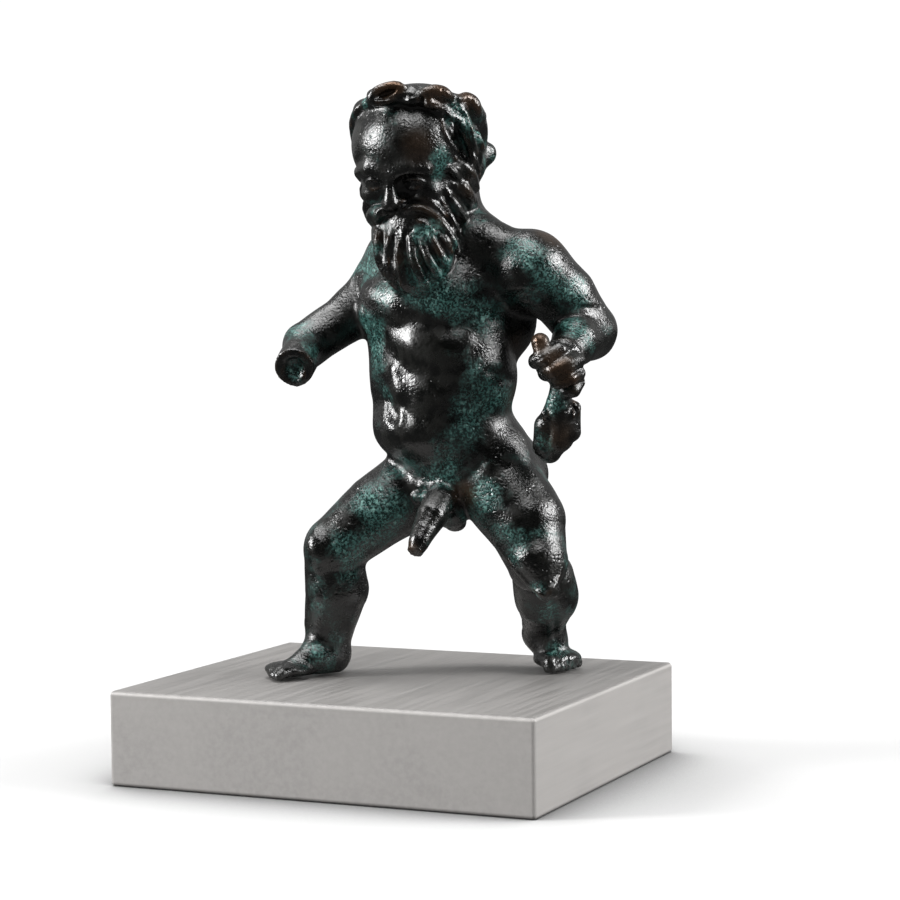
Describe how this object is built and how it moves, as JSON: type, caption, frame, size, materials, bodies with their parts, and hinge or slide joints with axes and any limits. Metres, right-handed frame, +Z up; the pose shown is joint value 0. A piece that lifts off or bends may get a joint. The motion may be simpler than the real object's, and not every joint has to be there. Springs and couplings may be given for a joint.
{
  "type": "silenus figurine",
  "caption": "Small antique-style bronze of a striding, bearded and wreathed silenus with a wineskin, right forearm lost, on a low frosted acrylic block",
  "frame": {"origin": "centre of the block's underside, in the plane it stands on", "axes": "+Z up, +Y to the back of the block, +X to the right along the block's width; the figure is turned 24 degrees on the block"},
  "size_m": [0.072, 0.06, 0.1104],
  "materials": {
    "patinated_bronze": "cast bronze, dark brown-green patina with turquoise specks, worn to brown on the edges",
    "frosted_acrylic": "frosted acrylic, lightly brushed, softened edges"
  },
  "bodies": {
    "root": {"silenus_figure": "patinated_bronze", "base_block": "frosted_acrylic"}
  },
  "joints": []
}
